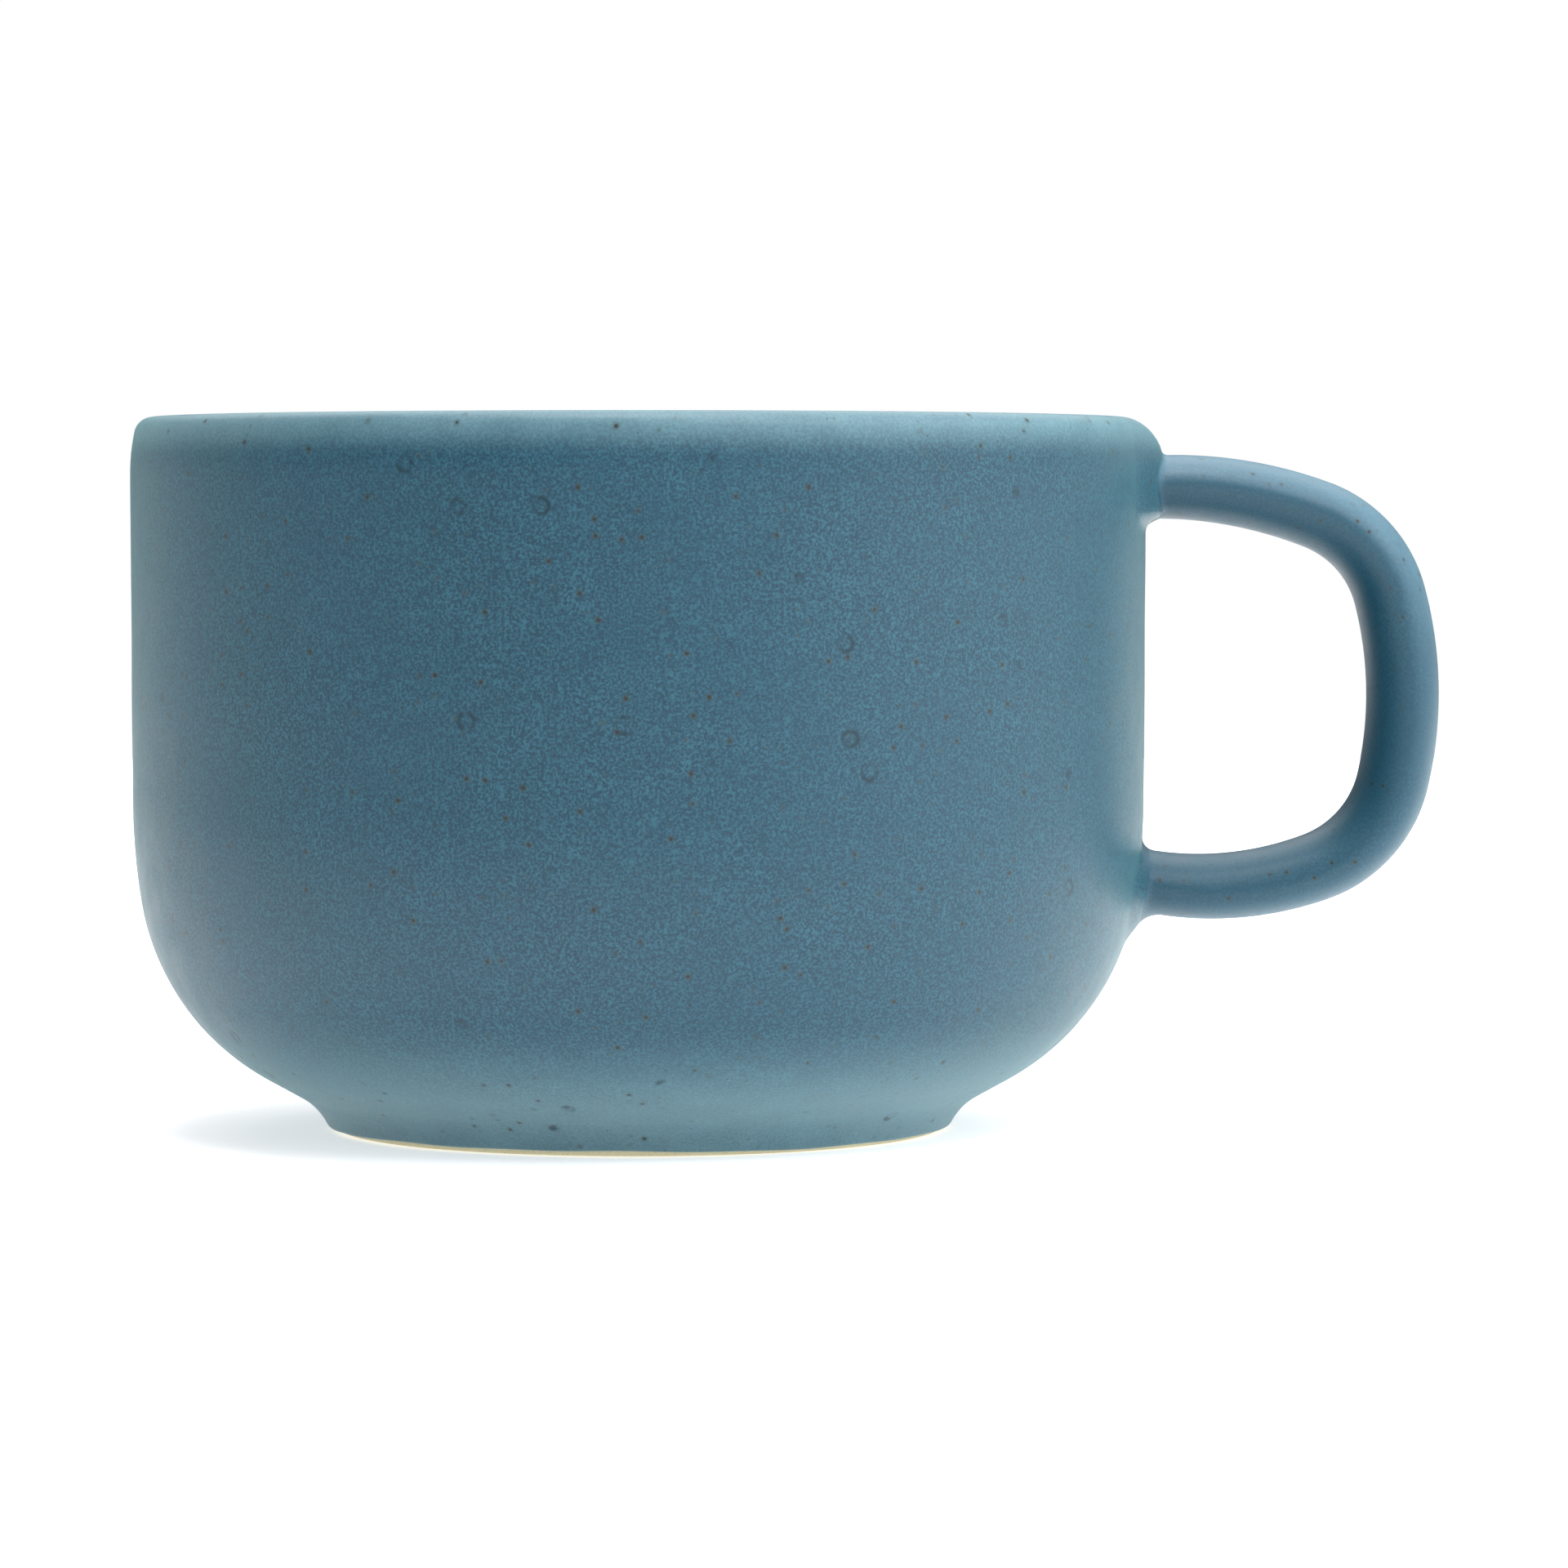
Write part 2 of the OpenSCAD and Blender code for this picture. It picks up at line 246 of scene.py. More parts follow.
def throwing(height, angle):
    """Shallow throwing lines, as a radius change: waves up the wall that drift slowly round the axis."""
    z = height / MM
    wave = (
        0.55 * np.sin(z / 2.9 + 0.6 * np.sin(angle + 0.4))
        + 0.30 * np.sin(z / 1.7 + 1.1 + 0.8 * np.sin(angle - 1.0))
        + 0.50 * np.sin(2 * angle + 0.5) * np.sin(z / 14.0)
    )
    fade = smooth(5.0, 14.0, z) * (1 - smooth(62.0, 68.0, z))
    return THROW_WAVE * wave * fade


def upper_boss(height, across, radius):
    """How far the wall stands out behind the upper root, where it follows a quarter oval from the rim."""
    up = np.clip((height - (RIM_Z - BOSS_TOP_H)) / BOSS_TOP_H, 0.0, 1.0)
    target = CREST[0] + BOSS_TOP * np.maximum(1 - up ** BOSS_ROUND, 0.0) ** (1 / BOSS_ROUND)
    under = np.clip((height - BOSS_LOW) / BOSS_FLARE, 0.0, 1.0)
    out = np.maximum(target - radius, 0.0) * (1 - np.sqrt(np.maximum(1 - under ** 2, 0.0)))
    return out * (1 - smooth(BOSS_FULL, BOSS_GONE, np.abs(across)))


def lower_boss(height, across):
    """The wall's small swelling behind the lower root: an oval with soft edges, longer down than up."""
    up = height - LOWER_Z
    off = np.hypot(across / LOWER_REACH, up / np.where(up > 0, LOWER_UP, LOWER_DOWN))
    return LOWER_OUT * (1 - smooth(0.45, 1.0, off))


def shaped(radius, height, angle):
    """The glazed wall's radius at a height and angle, from the radius of the true outline."""
    ahead = np.cos(angle) > 0
    across = radius * np.sin(angle)
    bump = upper_boss(height, across, radius) + lower_boss(height, across)
    return radius + np.where(ahead, bump, 0.0) + throwing(height, angle)


def revolved(radius, height, angle):
    """Points of a surface of revolution, from arrays of the same shape."""
    return np.stack([radius * np.cos(angle), radius * np.sin(angle), height], -1)


def turned(outline, angle, wave=0.0):
    """An outline of (radius, height) rows turned round the axis, with `wave` added to its radius."""
    radius, height = outline[:, :1] + wave, outline[:, 1:]
    return revolved(radius + 0 * angle, height + 0 * angle, angle + 0 * height)


# ---- The skins of glaze on the cup ----

AROUND = 448
EDGE_WAVE = 0.22 * MM       # how far the glaze line wanders
BEAD = 0.45 * MM            # length of the rounded bead at the glaze line
LIP_THIN_AND_LIT = 0.70             # how much paler the lip is made, partly thin glaze and partly painted light on its top, between these distances below its top
LIP_FROM, LIP_TO = 4.2 * MM, 0.6 * MM
LOW_THIN = 0.66             # how thin it runs above the foot, between these heights
LOW_FULL, LOW_GONE = 3.0 * MM, 14.0 * MM


def outer_glaze_skin():
    """The outside's outline, thickened by the glaze along its normal and turned round the axis.

    The glaze line wanders along the outline with the angle, and the glaze swells from nothing in a
    quarter-round bead. The skin's back is the clay's outline.
    """
    points, normals, lengths = trace(GLAZE_START, BARE_TURN, outside_steps, 0.75 * MM)
    angle = around(AROUND)[None, :]
    between = (lengths[1:] + lengths[:-1]) / 2
    flare = np.abs(np.interp(between, lengths, points[:, 1]) - BOSS_LOW - BOSS_FLARE / 2) < 1.6 * MM
    stations = [np.linspace(0, BEAD, 6)[:-1], lengths[lengths > BEAD * 1.2], between[flare]]
    stations = np.sort(np.concatenate(stations))[:, None]
    wander = 0.6 * np.sin(3 * angle + 1.0) + 0.3 * np.sin(7 * angle) + 0.2 * np.sin(16 * angle + 2.0)
    along = stations + EDGE_WAVE * (wander + 1) * np.exp(-stations / (1.2 * MM))

    def at(values, where):
        return np.interp(where, lengths, values)

    rise = np.sqrt(1 - (1 - np.clip(stations / BEAD, 0, 1)) ** 2) * GLAZE
    radius = at(points[:, 0], along) + at(normals[:, 0], along) * rise
    height = at(points[:, 1], along) + at(normals[:, 1], along) * rise
    front = revolved(shaped(radius, height, angle), height, angle + 0 * radius)
    back_at = along[::-6]
    back_r, back_z = at(points[:, 0], back_at), at(points[:, 1], back_at)
    back = revolved(shaped(back_r, back_z, angle) - 0.02 * MM, back_z, angle + 0 * back_r)
    rows = len(stations)
    # Painted light: the lip is made paler toward its top, partly where the glaze runs thin and partly as
    # painted light falling on its upward face.
    lip = LIP_THIN_AND_LIT * smooth(RIM_Z - LIP_FROM, RIM_Z - LIP_TO, height)
    low = LOW_THIN * (1 - smooth(LOW_FULL, LOW_GONE, height))
    edge = np.exp(-(along - along[0]) / (0.5 * MM))
    thin = np.concatenate([np.maximum(np.maximum(lip, low), edge), np.zeros(back_r.shape)])
    return grid_mesh("outer_glaze_skin", np.concatenate([front, back]), wrap_u=True,
                     sharp_rows=(0, rows - 1, rows, -1), thin=thin)


def inner_glaze_skin():
    """The inside's outline from the lip's crest to the middle, its back on the clay, turned round."""
    points, normals, _ = trace(CREST, 180, inside_steps, 1.0 * MM)
    keep = points[:, 0] > 0.3 * MM
    points, normals = points[keep], normals[keep]
    angle = around(AROUND)[None, :]
    front = turned(points + normals * GLAZE, angle)
    back = turned(points[::6], angle)
    grid = np.concatenate([back[::-1], front])
    # Painted light: the inside of the lip is paler near its crest, partly thin glaze and partly painted
    # light on its top.
    lip = smooth(RIM_Z - 2.2 * MM, RIM_Z - 0.3 * MM, front[..., 2])
    thin = np.concatenate([np.zeros(back.shape[:2]), lip])
    return grid_mesh("inner_glaze_skin", grid, cap_start=True, cap_end=True,
                     sharp_rows=(len(back) - 1, len(back)), thin=thin)


def base_glaze_skin():
    """The pool of glaze on the recess's ceiling and side, turned round the axis."""
    side = moved(UNDER_HEADING, underside_steps[0][0], 0)
    out = -left_of(UNDER_HEADING) * GLAZE
    corner = RECESS_R + GLAZE * (math.sin(recess_tilt) - 1) / math.cos(recess_tilt)
    low, high = FOOT_H - GLAZE, FOOT_H
    fillet = 0.6 * MM
    outline = np.array([
        [0.3 * MM, high], [RECESS_R, high],
        UNDER_START + side, UNDER_START + side + out,
        UNDER_START + side * 0.5 + out, [corner - 0.15 * MM + 0.1 * fillet, low - fillet],
        [corner - 0.3 * fillet, low - 0.3 * fillet], [corner - fillet, low],
        [corner * 0.5, low], [0.3 * MM, low],
    ])
    grid = turned(outline, around(192)[None, :])
    return grid_mesh("base_glaze_skin", grid[::-1], cap_start=True, cap_end=True, sharp_rows=(6, 7, 8))


def bare_foot():
    """The foot ring: the underside's outline and the start of the outside's, closed at the body."""
    lower, _, _ = trace(UNDER_START, UNDER_HEADING, underside_steps, 0.25 * MM)
    upper, _, _ = trace(GLAZE_START, BARE_TURN, outside_steps, 0.4 * MM)
    upper = upper[upper[:, 1] < FOOT_H]
    outline = np.concatenate([lower, upper[1:]])
    angle = around(AROUND)[None, :]
    grid = turned(outline, angle, 0.02 * MM * np.sin(5 * angle + 1.0))
    return grid_mesh("bare_foot", grid, wrap_u=True, sharp_rows=(0, -1))


# ---- The handle and its joints ----

HANDLE_AROUND = 96


def handle_line(samples=1400):
    """The handle's centreline in the plane y = 0, run on straight into the wall at both ends.

    Returns the points, the headings in degrees and the lengths from the first root.
    """
    into = 2.6 * MM
    steps = [(into, 0)] + [(r * MM, turn) for r, turn in HANDLE_BENDS] + [(into, 0)]
    start = HANDLE_START - moved(HANDLE_TILT, into, 0)
    points, normals, lengths = trace(start, HANDLE_TILT, steps, 0.1 * MM)
    headings = np.degrees(np.unwrap(np.arctan2(-normals[:, 1], -normals[:, 0]))) - 90
    where = np.linspace(0, lengths[-1], samples)
    x, z, h = (np.interp(where, lengths, v) for v in (points[:, 0], points[:, 1], headings))
    return np.stack([x, z], -1), h, where


LINE, HEADINGS, RUN = handle_line()


def three_point(values, t):
    """The quadratic through three values at t = 0, 0.5 and 1."""
    first, middle, last = values
    return first * (1 - t) * (1 - 2 * t) + 4 * middle * t * (1 - t) + last * t * (2 * t - 1)


def section_half(t, turn, grow):
    """The section's reach outwards and sideways at an angle round it.

    It is two half ovals that meet at its widest line. The outer half is shallow and the inner half deep,
    so the widest line lies outside the centreline.
    """
    c, s = np.cos(turn), np.sin(turn)
    half_t = three_point(HANDLE_HALF_T, t) * MM
    half_w = three_point(HANDLE_HALF_W, t) * MM + grow
    lean = EDGE_LEAN * smooth(0.0, 0.12, t) * smooth(1.0, 0.88, t)
    deep = half_t * np.where(c > 0, 1 - lean, 1 + lean) + grow
    return half_t * lean + deep * c, half_w * s


def on_handle(run, turn, grow):
    """A point of the handle's surface: the centreline's point plus the section's reach."""
    x, z, heading = (np.interp(run, RUN, v) for v in (LINE[:, 0], LINE[:, 1], HEADINGS))
    t = run / RUN[-1]
    out, side = section_half(t, turn, grow)
    a = np.radians(heading)
    return np.stack([x - np.sin(a) * out, side + 0 * x, z + np.cos(a) * out], -1)


wall_points, wall_normals, _ = trace(GLAZE_START, BARE_TURN, outside_steps, 0.2 * MM)
wall_face = wall_points + wall_normals * GLAZE
wall_face = wall_face[np.argsort(wall_face[:, 1], kind="stable")]


def wall_radius(point, grow=0.0):
    """The glazed wall's radius where a point is, moved out by `grow`."""
    height = np.clip(point[..., 2], 3 * MM, RIM_Z)
    angle = np.arctan2(point[..., 1], point[..., 0])
    return shaped(np.interp(height, wall_face[:, 1], wall_face[:, 0]), height, angle) + grow


def leaves_wall(turn, grow, end, off=0.0):
    """The length along the handle where each line of its surface comes out of the wall, at one end."""
    trial = np.linspace(0, 9 * MM, 400)[:, None]
    run = trial if end == 0 else RUN[-1] - trial
    spot = on_handle(run, turn[None, :], grow)
    clear = np.hypot(spot[..., 0], spot[..., 1]) - wall_radius(spot, off)
    last_in = len(trial) - 1 - np.argmax(clear[::-1] < 0, axis=0)
    last_in = np.clip(last_in, 0, len(trial) - 2)
    pick = np.arange(len(turn))
    c0, c1 = clear[last_in, pick], clear[last_in + 1, pick]
    found = trial[last_in, 0] + (trial[1, 0] - trial[0, 0]) * np.clip(c0 / (c0 - c1), 0, 1)
    return found if end == 0 else RUN[-1] - found


def root_fillet(turn, end, rows):
    """Rows of points from the wall up onto the handle: a quadratic curve, tangent to both, for each angle.

    Each curve's middle control point is where the handle's line leaves the wall, its first lies on the
    wall further out, and its last lies further along the handle. The fillet is widest in the loop.
    """
    sign = 1.0 if end == 0 else -1.0
    inner_side = (1 - np.cos(turn)) / 2
    reach_out = SIDE_FILLET + (LOOP_FILLETS[end] - SIDE_FILLET) * smooth(0.62, 0.98, inner_side)
    if end == 1:
        reach_out = np.maximum(reach_out, SIDE_FILLET + UNDER_FILLET * smooth(0.6, 1.0, 1 - inner_side))
    leave = leaves_wall(turn, 0.0, end)
    middle = on_handle(leave, turn, 0.0)
    heading = np.radians(np.interp(leave, RUN, HEADINGS))
    t = leave / RUN[-1]
    out, side = section_half(t, turn, 0.0)
    step = 1e-4
    out_b, side_b = section_half(t, turn + step, 0.0)
    tangent = np.stack([out_b - out, side_b - side], -1)
    normal = np.stack([tangent[:, 1], -tangent[:, 0]], -1)
    normal /= np.linalg.norm(normal, axis=1, keepdims=True)
    away = np.stack([-np.sin(heading) * normal[:, 0], normal[:, 1], np.cos(heading) * normal[:, 0]], -1)
    foot = middle + away * reach_out[:, None]
    angle = np.arctan2(foot[:, 1], foot[:, 0])
    on_wall = wall_radius(foot)
    foot = np.stack([on_wall * np.cos(angle), on_wall * np.sin(angle), foot[:, 2]], -1)
    top = on_handle(leave + sign * reach_out, turn, 0.0)
    k = np.linspace(0, 1, rows)[:, None, None]
    curve = (1 - k) ** 2 * foot + 2 * k * (1 - k) * middle + k ** 2 * top
    sunk = curve[0].copy()
    sunk[:, :2] *= 1 - 0.15 * MM / np.hypot(sunk[:, 0], sunk[:, 1])[:, None]
    curve[0] = sunk
    return curve, leave + sign * reach_out


def handle_glaze_skin():
    """The handle's coat: a fillet at each root, the swept section between them, and its back on the clay.

    The glaze is paler on the tops of both arms, partly thin glaze and partly painted light from above,
    and a little paler along the outer face.
    """
    turn = np.linspace(0, 2 * math.pi, HANDLE_AROUND, endpoint=False)
    first, first_run = root_fillet(turn, 0, 12)
    last, last_run = root_fillet(turn, 1, 12)
    k = np.linspace(0, 1, 260)[1:-1, None]
    run = first_run * (1 - k) + last_run * k
    tube = on_handle(run, turn[None, :] + 0 * run, 0.0)
    front = np.concatenate([first, tube, last[::-1]])
    start = leaves_wall(turn, -GLAZE, 0) - 0.3 * MM
    stop = leaves_wall(turn, -GLAZE, 1) + 0.3 * MM
    k = np.linspace(1, 0, 60)[:, None]
    back_run = start * (1 - k) + stop * k
    back = on_handle(back_run, turn[None, :] + 0 * back_run, -GLAZE)
    rows = len(front)
    t = np.linspace(0, 1, rows)[:, None]
    outwards = np.cos(turn)[None, :]
    # Painted light: the tops of the upper and lower arms are made paler where light from above falls on
    # them, partly also thin glaze there.
    upper = 0.42 * smooth(-0.3, 0.7, outwards) * (1 - smooth(0.28, 0.50, t))
    lower = 0.26 * smooth(0.0, 0.9, -outwards) * smooth(0.62, 0.80, t)
    outer = 0.12 * smooth(0.1, 0.9, outwards) + 0.0 * t
    thin = np.concatenate([upper + lower + outer, np.zeros(back.shape[:2])])
    return grid_mesh("handle_glaze_skin", np.concatenate([front, back])[:, ::-1], wrap_u=True,
                     sharp_rows=(0, rows - 1, rows, -1), thin=thin[:, ::-1])


def handle_piece(name, low_end, low_off, high_end, high_off, rows, grow=-GLAZE):
    """A length of the clay handle between two places, each a root and a distance from its wall."""
    turn = np.linspace(0, 2 * math.pi, 48, endpoint=False)
    start = leaves_wall(turn, grow, low_end, -GLAZE) + low_off
    stop = leaves_wall(turn, grow, high_end, -GLAZE) + high_off
    k = np.linspace(0, 1, rows)[:, None]
    run = start * (1 - k) + stop * k
    grid = on_handle(run, turn[None, :] + 0 * run, grow)
    return grid_mesh(name, grid[:, ::-1], cap_start=True, cap_end=True, sharp_rows=(0, rows - 1))


# ---- Materials ----

class Wires:
    """Short calls that make and join the nodes of one material. Each gives back an output socket."""

    def __init__(self, name):
        self.material = bpy.data.materials.new(name)
        self.material.use_nodes = True
        self.tree = self.material.node_tree
        self.shader = self.tree.nodes["Principled BSDF"]

    def node(self, kind, **settings):
        """A new node, itself and not a socket."""
        made = self.tree.nodes.new(kind)
        for key, value in settings.items():
            setattr(made, key, value)
        return made

    def put(self, socket, value):
        """Join an output to a socket, or set the socket to a plain value."""
        if isinstance(value, bpy.types.NodeSocket):
            self.tree.links.new(value, socket)
        else:
            socket.default_value = value

    def coords(self):
        return self.node("ShaderNodeTexCoord").outputs["Object"]

    def attribute(self, name):
        return self.node("ShaderNodeAttribute", attribute_name=name).outputs["Fac"]

    def maths(self, operation, a, b=0.0, c=0.0, clamp=False):
        made = self.node("ShaderNodeMath", operation=operation, use_clamp=clamp)
        for socket, value in zip(made.inputs, (a, b, c)):
            self.put(socket, value)
        return made.outputs[0]

    def ramp(self, value, low, high, to_low=0.0, to_high=1.0, kind="SMOOTHSTEP"):
        """A value's place between low and high, brought to the range from to_low to to_high."""
        made = self.node("ShaderNodeMapRange", interpolation_type=kind)
        for socket, v in zip(made.inputs, (value, low, high, to_low, to_high)):
            self.put(socket, v)
        return made.outputs[0]

    def noise(self, coords, size, detail=2.0, roughness=0.5):
        """Noise whose features are about `size` metres across."""
        made = self.node("ShaderNodeTexNoise")
        self.put(made.inputs["Vector"], coords)
        made.inputs["Scale"].default_value = 1.0 / size
        made.inputs["Detail"].default_value = detail
        made.inputs["Roughness"].default_value = roughness
        return made.outputs["Fac"]

    def cells(self, coords, size):
        """Distance to the nearest of points `size` apart, in that size, and the point's random colour."""
        made = self.node("ShaderNodeTexVoronoi", feature="F1")
        self.put(made.inputs["Vector"], coords)
        made.inputs["Scale"].default_value = 1.0 / size
        return made.outputs["Distance"], made.outputs["Color"]

    def red(self, colour):
        """The red part of a colour."""
        made = self.node("ShaderNodeSeparateColor")
        self.put(made.inputs[0], colour)
        return made.outputs[0]

    def mix(self, factor, a, b):
        """Colour a where the factor is 0, and b where it is 1."""
        made = self.node("ShaderNodeMix", data_type="RGBA", blend_type="MIX")
        colours = [s for s in made.inputs if s.type == "RGBA"]
        self.put(made.inputs[0], factor)
        self.put(colours[0], a)
        self.put(colours[1], b)
        return [s for s in made.outputs if s.type == "RGBA"][0]

    def bump(self, height, distance, strength, normal=None):
        """A normal tilted by the slope of a height, over another bump's normal if there is one."""
        made = self.node("ShaderNodeBump")
        made.inputs["Strength"].default_value = strength
        made.inputs["Distance"].default_value = distance
        self.put(made.inputs["Height"], height)
        if normal is not None:
            self.put(made.inputs["Normal"], normal)
        return made.outputs[0]


def rgb(r, g, b):
    """A full colour from its linear red, green and blue."""
    return (r, g, b, 1.0)


# The glaze: its ground, the crystals in it, the brightest of them, and a cooler cloud
DEEP_BLUE = rgb(0.005, 0.037, 0.068)
CRYSTAL_BLUE = rgb(0.023, 0.110, 0.158)
BRIGHT_CRYSTAL = rgb(0.045, 0.150, 0.200)
CLOUD_BLUE = rgb(0.009, 0.060, 0.100)
# Where it is thin, and where it stands for painted light on the lip and the tops of the handle's arms: on
# the cup and on the handle
BROKEN_AND_LIT = rgb(0.165, 0.305, 0.355)
HANDLE_BROKEN_AND_LIT = rgb(0.15, 0.29, 0.38)
# Iron specks, their halos, wider stains, and the dark of a healed pinhole's ring
IRON = rgb(0.016, 0.017, 0.012)
HALO = rgb(0.038, 0.044, 0.036)
STAIN = rgb(0.024, 0.054, 0.062)
RING = rgb(0.003, 0.024, 0.042)
# Fired clay and slip
CLAY = rgb(0.60, 0.55, 0.37)
PALE_CLAY = rgb(0.60, 0.58, 0.40)
SLIP = rgb(0.52, 0.47, 0.37)

# Healed pinholes: how far apart their points are, a ring's radius, its fade to each side and its dark core
RING_APART = 9.0 * MM
RING_R, RING_W, RING_CORE = 0.74 * MM, 0.36 * MM, 0.05 * MM


def specks(w, coords, size, keep, radius):
    """Scattered dots: near a cell's point, and only in the cells whose random number is above `keep`."""
    distance, colour = w.cells(coords, size)
    chosen = w.ramp(w.red(colour), keep, keep + 0.01, kind="LINEAR")
    dot = w.ramp(distance, radius, radius * 0.45)
    return w.maths("MULTIPLY", chosen, dot)


def pinhole_rings(w, coords):
    """Healed pinholes: a dark ring at one distance from each of some widely scattered points."""
    distance, _ = w.cells(coords, RING_APART)
    off = w.maths("ABSOLUTE", w.maths("SUBTRACT", distance, RING_R / RING_APART))
    return w.ramp(off, RING_W / RING_APART, RING_CORE / RING_APART)


def blue_glaze(name, crystals, rings=False, speck_size=1.0, sheen=0.12, roughness=0.40, pale=BROKEN_AND_LIT):
    """Satin blue glaze: fine pale crystals and iron specks in a deep blue, pale where it is thin and where
    light is painted on it.
    """
    w = Wires(name)
    coords = w.coords()
    drift = w.noise(coords, 18 * MM, 2.0)
    cloud = w.noise(coords, 3.5 * MM, 3.0, 0.6)
    grain = w.noise(coords, 0.26 * MM, 2.0, 0.5)
    fine = w.noise(coords, 0.12 * MM, 1.0)
    bloom = w.ramp(grain, 0.36, 0.70)
    bloom = w.maths("MULTIPLY", bloom, w.ramp(cloud, 0.25, 0.75, 0.72, 1.0))
    share = w.maths("MULTIPLY_ADD", bloom, crystals, 0.42 * (1 - crystals))
    colour = w.mix(share, DEEP_BLUE, CRYSTAL_BLUE)
    colour = w.mix(w.ramp(drift, 0.3, 0.7, 0.0, 0.25), colour, CLOUD_BLUE)
    colour = w.mix(w.ramp(fine, 0.50, 0.85, 0.0, 0.35 * crystals), colour, BRIGHT_CRYSTAL)
    stain = w.ramp(w.noise(coords, 0.9 * MM, 3.0, 0.7), 0.64, 0.76, 0.0, 0.35)
    colour = w.mix(stain, colour, STAIN)
    # Painted light: the pale mix below stands both for thin glaze and for light falling on the lip and the
    # handle's arm tops.
    thin = w.attribute("thin")
    broken_and_lit = w.maths("MULTIPLY", thin, w.ramp(cloud, 0.2, 0.8, 0.75, 1.0))
    broken_and_lit = w.maths("MULTIPLY", broken_and_lit, w.ramp(grain, 0.3, 0.7, 0.85, 1.0))
    colour = w.mix(broken_and_lit, colour, pale)
    small = specks(w, coords, 1.15 * MM * speck_size, 0.80, 0.10)
    large = specks(w, coords, 2.1 * MM * speck_size, 0.46, 0.125)
    dots = w.maths("MAXIMUM", small, large)
    halo = specks(w, coords, 2.1 * MM * speck_size, 0.46, 0.25)
    faint = specks(w, coords, 1.6 * MM * speck_size, 0.55, 0.17)
    colour = w.mix(w.maths("MULTIPLY", w.maths("MAXIMUM", halo, faint), 0.32), colour, HALO)
    colour = w.mix(w.maths("MULTIPLY", dots, 0.9), colour, IRON)
    relief = w.maths("ADD", w.maths("MULTIPLY", grain, 0.6), w.maths("MULTIPLY", fine, 0.25))
    if rings:
        ring = pinhole_rings(w, coords)
        patchy = w.ramp(w.noise(coords, 1.3 * MM, 2.0), 0.38, 0.62, 0.20, 0.90)
        ring = w.maths("MULTIPLY", ring, patchy)
        colour = w.mix(ring, colour, RING)
        relief = w.maths("SUBTRACT", relief, w.maths("MULTIPLY", ring, 1.2))
    w.put(w.shader.inputs["Base Color"], colour)
    w.put(w.shader.inputs["Roughness"], w.ramp(cloud, 0.25, 0.75, roughness, roughness + 0.07))
    w.shader.inputs["Specular IOR Level"].default_value = 0.42
    w.shader.inputs["Sheen Weight"].default_value = sheen
    w.shader.inputs["Sheen Roughness"].default_value = 0.45
    w.shader.inputs["Sheen Tint"].default_value = rgb(0.45, 0.95, 0.90)
    normal = w.bump(relief, 0.010 * MM, 0.5 * crystals + 0.1)
    wander = w.bump(w.noise(coords, 3.0 * MM, 2.0), 0.02 * MM, 0.3, normal)
    w.put(w.shader.inputs["Normal"], wander)
    return w.material


def bare_clay(name, colour):
    """Fired stoneware: fine grain, a warm and cool drift, iron specks and faint turning lines."""
    w = Wires(name)
    coords = w.coords()
    grain = w.noise(coords, 0.25 * MM, 3.0, 0.6)
    drift = w.noise(coords, 6.0 * MM, 2.0)
    shade = w.mix(w.ramp(grain, 0.35, 0.7, 0.0, 0.6), colour, rgb(*(0.72 * c for c in colour[:3])))
    shade = w.mix(w.ramp(drift, 0.35, 0.7, 0.0, 0.4), shade, PALE_CLAY)
    shade = w.mix(w.maths("MULTIPLY", specks(w, coords, 1.1 * MM, 0.7, 0.12), 0.7), shade, IRON)
    w.put(w.shader.inputs["Base Color"], shade)
    w.put(w.shader.inputs["Roughness"], w.ramp(grain, 0.3, 0.7, 0.75, 0.92))
    w.put(w.shader.inputs["Normal"], w.bump(grain, 0.02 * MM, 0.5))
    return w.material


def stage_white(name, glow):
    """A plain white surface with a barely visible tooth and an even glow of its own."""
    w = Wires(name)
    tooth = w.ramp(w.noise(w.coords(), 8 * MM, 2.0), 0.3, 0.7)
    w.put(w.shader.inputs["Base Color"], w.mix(tooth, rgb(0.88, 0.88, 0.88), rgb(0.90, 0.90, 0.90)))
    w.shader.inputs["Roughness"].default_value = 0.9
    w.shader.inputs["Specular IOR Level"].default_value = 0.1
    w.shader.inputs["Emission Color"].default_value = rgb(1, 1, 1)
    w.shader.inputs["Emission Strength"].default_value = glow
    return w.material


# ---- The studio ----

TABLE_GLOW = 0.55
CAMERA_AT = (14.33 * MM, -630.1 * MM, 60.8 * MM)
CAMERA_PITCH = 87.566
LENS = 146.3
AIM = (0.0, 0.0, 35.0 * MM)         # the point that the lights face


def add_camera():
    """The camera: a long lens in front of the mug, a little above its foot and tilted down slightly."""
    camera = bpy.data.cameras.new("camera")
    camera.lens = LENS
    camera.sensor_width = 36.0
    camera.clip_start = 0.01
    camera.clip_end = 50.0
    holder = bpy.data.objects.new("camera", camera)
    holder.location = CAMERA_AT
    holder.rotation_euler = (math.radians(CAMERA_PITCH), 0.0, 0.0)
    bpy.context.scene.collection.objects.link(holder)
    bpy.context.scene.camera = holder


def softbox(name, azimuth, elevation, distance, width, height, watts):
    """A rectangular soft light, aimed at the mug; azimuth in degrees from the front to the handle."""
    a, e = math.radians(azimuth - 90), math.radians(elevation)
    lamp = bpy.data.lights.new(name, "AREA")
    lamp.shape = "RECTANGLE"
    lamp.size, lamp.size_y, lamp.energy = width, height, watts
    holder = bpy.data.objects.new(name, lamp)
    towards = np.array([math.cos(e) * math.cos(a), math.cos(e) * math.sin(a), math.sin(e)])
    holder.location = np.array(AIM) + distance * towards
    holder.rotation_euler = Vector(towards).to_track_quat("Z", "Y").to_euler()
    bpy.context.scene.collection.objects.link(holder)
    return holder


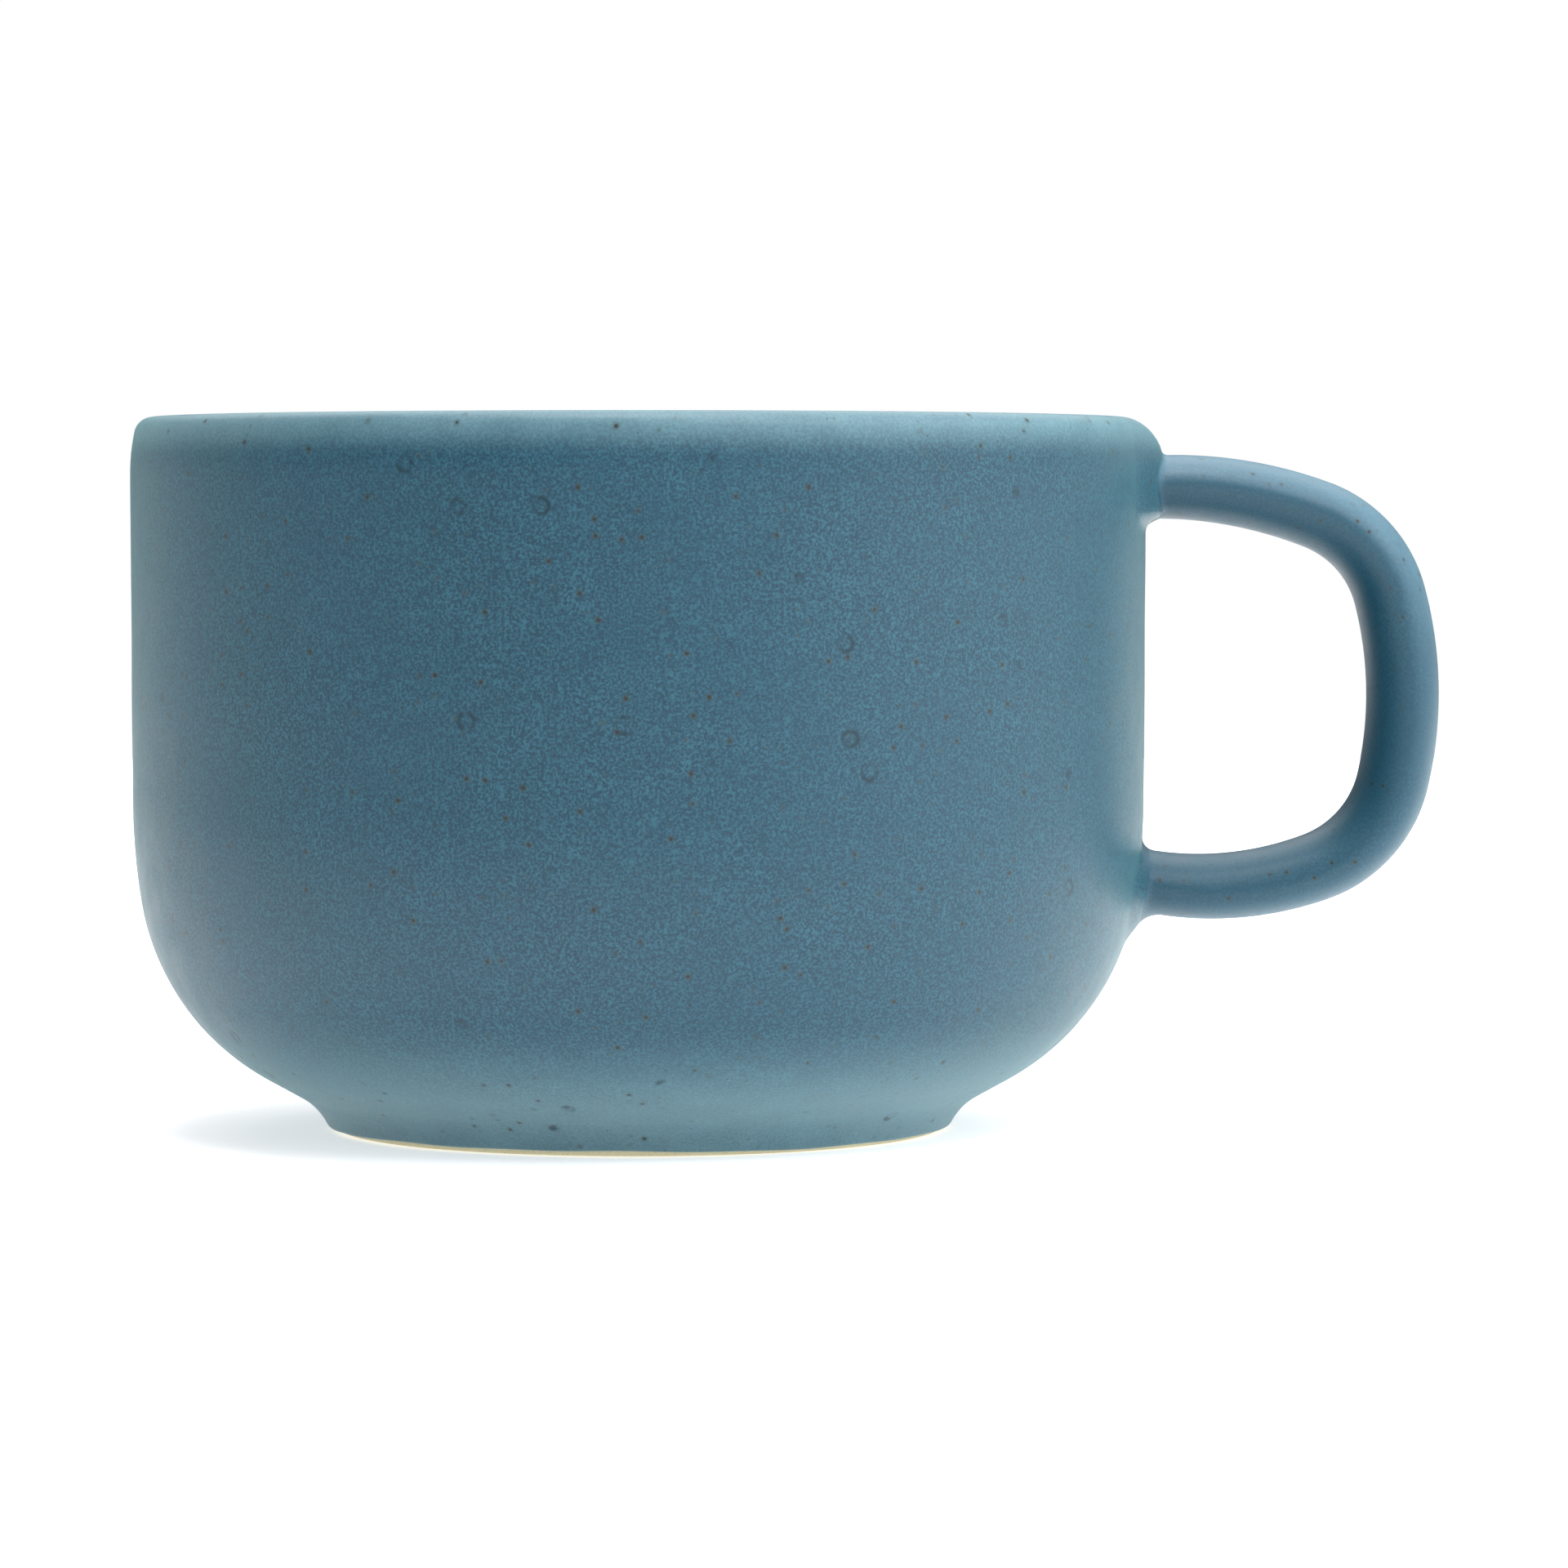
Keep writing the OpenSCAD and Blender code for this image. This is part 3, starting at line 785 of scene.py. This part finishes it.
def add_stage():
    """A plain white table that glows evenly."""
    across, deep = np.array([-0.75, 0.75]), np.array([-0.75, 0.95])
    grid = np.stack([*np.meshgrid(across, deep), np.full((2, 2), -0.02 * MM)], -1)
    table = grid_mesh("table", grid, wrap_v=False)
    table.data.materials.append(stage_white("table_white", TABLE_GLOW))


def add_world(seen, lighting):
    """Plain white all round: `seen` is its brightness behind the mug, `lighting` how much it lights."""
    world = bpy.data.worlds.new("studio")
    world.use_nodes = True
    tree = world.node_tree
    background = tree.nodes["Background"]
    background.inputs["Color"].default_value = rgb(1, 1, 1)
    path = tree.nodes.new("ShaderNodeLightPath")
    strength = tree.nodes.new("ShaderNodeMapRange")
    strength.inputs["To Min"].default_value = lighting
    strength.inputs["To Max"].default_value = seen
    tree.links.new(path.outputs["Is Camera Ray"], strength.inputs["Value"])
    tree.links.new(strength.outputs[0], background.inputs["Strength"])
    bpy.context.scene.world = world


def finish_piece(piece, material, slot, *nodes):
    """Give a piece its material and let it stand for its CAD nodes. The slot is not used."""
    piece.data.materials.append(material)
    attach(piece, "root")
    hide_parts(*nodes)


# ---- Putting it together ----

add_camera()
add_world(1.0, 0.15)
add_stage()
softbox("over", 0, 88, 1.0, 0.5, 0.5, 5.8)
softbox("top_front", 0, 60, 1.2, 1.2, 1.0, 2.6)
softbox("front_right", 28, 44, 1.2, 0.4, 0.3, 2.8)
softbox("front", 10, 20, 1.6, 1.2, 0.4, 2.0)
softbox("top_back", 180, 50, 1.2, 1.4, 1.0, 8.9)
softbox("top_right", 75, 50, 1.2, 1.2, 1.0, 8.6)
softbox("right", 80, 12, 1.1, 0.9, 1.2, 4.5)
softbox("right_front", 50, 12, 1.2, 0.8, 1.2, 3.2)
softbox("left", -80, 12, 1.1, 0.9, 1.2, 0.8)
softbox("back_right", 125, 14, 1.2, 1.0, 1.2, 1.9)
softbox("back_left", -125, 14, 1.2, 1.0, 1.2, 1.4)

cup_glaze = blue_glaze("cup_glaze", 1.0, rings=True)
inside_glaze = blue_glaze("inside_glaze", 0.8)
smooth_glaze = blue_glaze("handle_glaze", 0.35, speck_size=0.8, sheen=0.03, roughness=0.44,
                          pale=HANDLE_BROKEN_AND_LIT)
clay = bare_clay("stoneware", CLAY)
slip = bare_clay("slip", SLIP)

finish_piece(outer_glaze_skin(), cup_glaze, "blue_glaze", "outer_glaze")
finish_piece(inner_glaze_skin(), inside_glaze, "blue_glaze", "inner_glaze")
finish_piece(base_glaze_skin(), inside_glaze, "blue_glaze", "base_glaze")
finish_piece(handle_glaze_skin(), smooth_glaze, "blue_glaze", "handle_glaze")
finish_piece(bare_foot(), clay, "bare_stoneware", "foot_ring")
clay_handle = handle_piece("clay_handle", 0, 0.4 * MM, 1, -0.4 * MM, 120)
finish_piece(clay_handle, clay, "bare_stoneware", "handle")
upper_slip = handle_piece("upper_slip", 0, -0.1 * MM, 0, 0.4 * MM, 4)
finish_piece(upper_slip, slip, "slip", "upper_handle_joint")
lower_slip = handle_piece("lower_slip", 1, -0.4 * MM, 1, 0.1 * MM, 4)
finish_piece(lower_slip, slip, "slip", "lower_handle_joint")
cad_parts["cup_body"].data.materials.clear()
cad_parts["cup_body"].data.materials.append(clay)

bpy.context.scene.view_settings.view_transform = "Standard"
bpy.context.scene.view_settings.look = "None"
